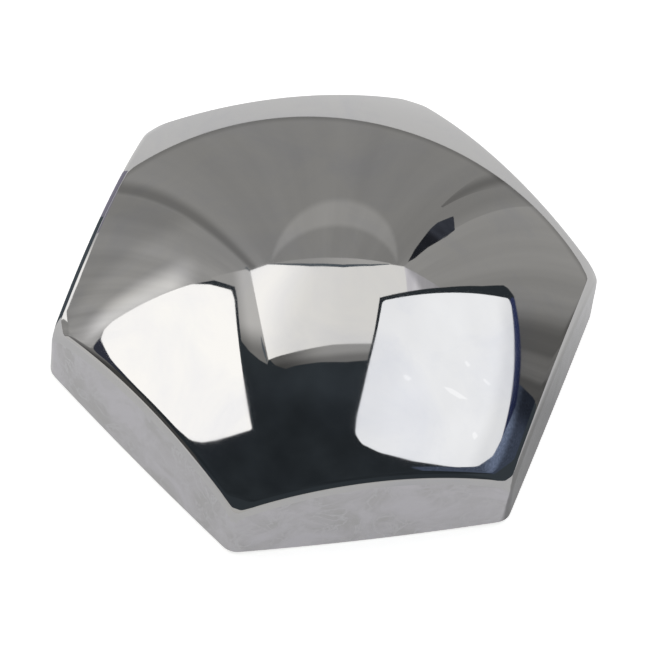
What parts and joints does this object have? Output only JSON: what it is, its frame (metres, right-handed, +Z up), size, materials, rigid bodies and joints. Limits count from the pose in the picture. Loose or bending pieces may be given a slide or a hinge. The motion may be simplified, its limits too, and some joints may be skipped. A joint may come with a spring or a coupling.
{
  "type": "rocker arm shaft nut",
  "caption": "Low closed hexagon nut with a polished domed crown, a flat bearing face and a blind threaded hole for the end of a rocker arm shaft.",
  "frame": {"origin": "centre of the flat bearing face, on the thread's axis", "axes": "+Z up through the crown along the thread's axis, with one pair of flats square to Y and two corners on X"},
  "size_m": [0.0292, 0.0254, 0.0091],
  "materials": {
    "chrome": "mirror-polished bright chrome plate on the crown, slightly cloudy on the flats"
  },
  "bodies": {
    "root": {"cap_nut": "chrome"}
  },
  "joints": []
}
